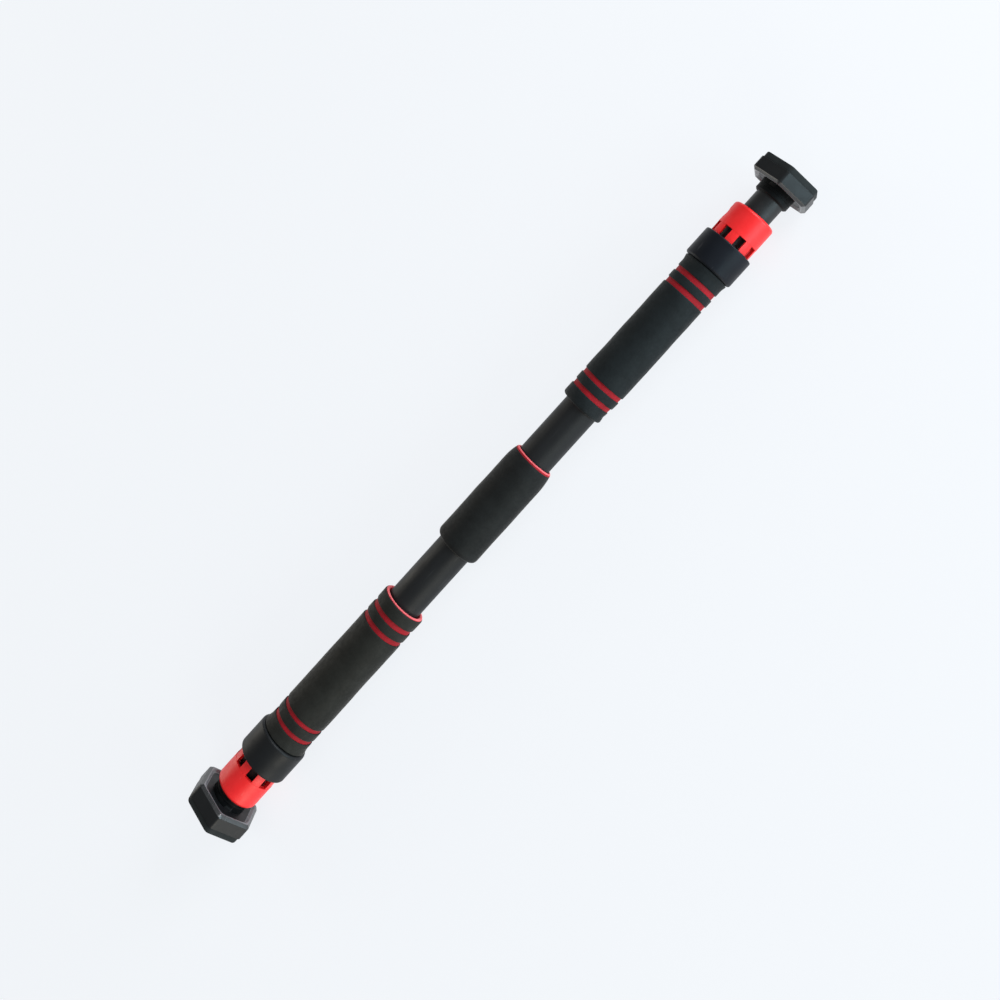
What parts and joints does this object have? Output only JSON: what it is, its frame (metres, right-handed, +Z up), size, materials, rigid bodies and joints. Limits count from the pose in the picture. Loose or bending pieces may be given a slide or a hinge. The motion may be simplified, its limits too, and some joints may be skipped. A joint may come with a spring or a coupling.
{
  "type": "pull up bar",
  "caption": "Doorway pull up bar with foam grips, screw-out ends, sliding ring locks and hexagonal rubber-faced feet.",
  "frame": {"origin": "on the bar's axis, midway between the faces of the two foot pads", "axes": "+X along the bar towards the end that stands out at rest, +Z up from a foot's flat"},
  "size_m": [0.738, 0.063, 0.0616],
  "materials": {
    "tube_paint": "satin powder coat",
    "collar_plastic": "fine moulded grain",
    "foot_plastic": "fine moulded grain",
    "lock_plastic": "satin moulded, red",
    "core_foam": "closed-cell foam, red",
    "skin_foam": "closed-cell foam, black",
    "pad_rubber": "matte",
    "bush_plastic": "natural, smooth",
    "zinc_steel": "zinc plated",
    "black_steel": "black oxide",
    "nut_brass": "turned"
  },
  "bodies": {
    "bar": {"main_tube": "tube_paint", "middle_grip_core": "core_foam", "middle_grip_skin": "skin_foam", "collar_left": "collar_plastic", "collar_screws_left": "black_steel", "grip_core_left": "core_foam", "grip_skin_left": "skin_foam", "anchor_plug_left": "zinc_steel", "anchor_pin_left": "zinc_steel", "spindle_left": "zinc_steel", "stop_washer_left": "zinc_steel", "stop_screw_left": "black_steel", "collar_right": "collar_plastic", "collar_screws_right": "black_steel", "grip_core_right": "core_foam", "grip_skin_right": "skin_foam", "anchor_plug_right": "zinc_steel", "anchor_pin_right": "zinc_steel", "spindle_right": "zinc_steel", "stop_washer_right": "zinc_steel", "stop_screw_right": "black_steel"},
    "guide_left": {"guide_bush_left": "bush_plastic"},
    "end_left": {"inner_tube_left": "tube_paint", "drive_nut_left": "nut_brass", "nut_pin_left": "zinc_steel", "foot_plug_left": "zinc_steel", "foot_housing_left": "foot_plastic", "foot_washer_left": "zinc_steel", "foot_bolt_left": "zinc_steel", "foot_pad_left": "pad_rubber"},
    "lock_left": {"lock_sleeve_left": "lock_plastic", "friction_ring_left": "pad_rubber"},
    "guide_right": {"guide_bush_right": "bush_plastic"},
    "end_right": {"inner_tube_right": "tube_paint", "drive_nut_right": "nut_brass", "nut_pin_right": "zinc_steel", "foot_plug_right": "zinc_steel", "foot_housing_right": "foot_plastic", "foot_washer_right": "zinc_steel", "foot_bolt_right": "zinc_steel", "foot_pad_right": "pad_rubber"},
    "lock_right": {"lock_sleeve_right": "lock_plastic", "friction_ring_right": "pad_rubber"}
  },
  "joints": [
    {"name": "left_end_turn", "type": "hinge", "parent": "bar", "child": "guide_left", "pos_m": [-0.27, 0, 0], "axis": [1, 0, 0], "range_deg": [0, 17100]},
    {"name": "left_end_extend", "type": "slide", "parent": "guide_left", "child": "end_left", "axis": [-1, 0, 0], "range_m": [0, 0.19]},
    {"name": "left_lock_slide", "type": "slide", "parent": "guide_left", "child": "lock_left", "axis": [1, 0, 0], "range_m": [0, 0.0082]},
    {"name": "right_end_turn", "type": "hinge", "parent": "bar", "child": "guide_right", "pos_m": [0.27, 0, 0], "axis": [1, 0, 0], "range_deg": [-1890, 15210]},
    {"name": "right_end_extend", "type": "slide", "parent": "guide_right", "child": "end_right", "axis": [1, 0, 0], "range_m": [-0.021, 0.169]},
    {"name": "right_lock_slide", "type": "slide", "parent": "guide_right", "child": "lock_right", "axis": [-1, 0, 0], "range_m": [0, 0.0082]}
  ],
  "couplings": [
    {"joint": "left_end_extend", "follows": "left_end_turn", "m_per_rad": 0.00063662},
    {"joint": "right_end_extend", "follows": "right_end_turn", "m_per_rad": 0.00063662}
  ]
}
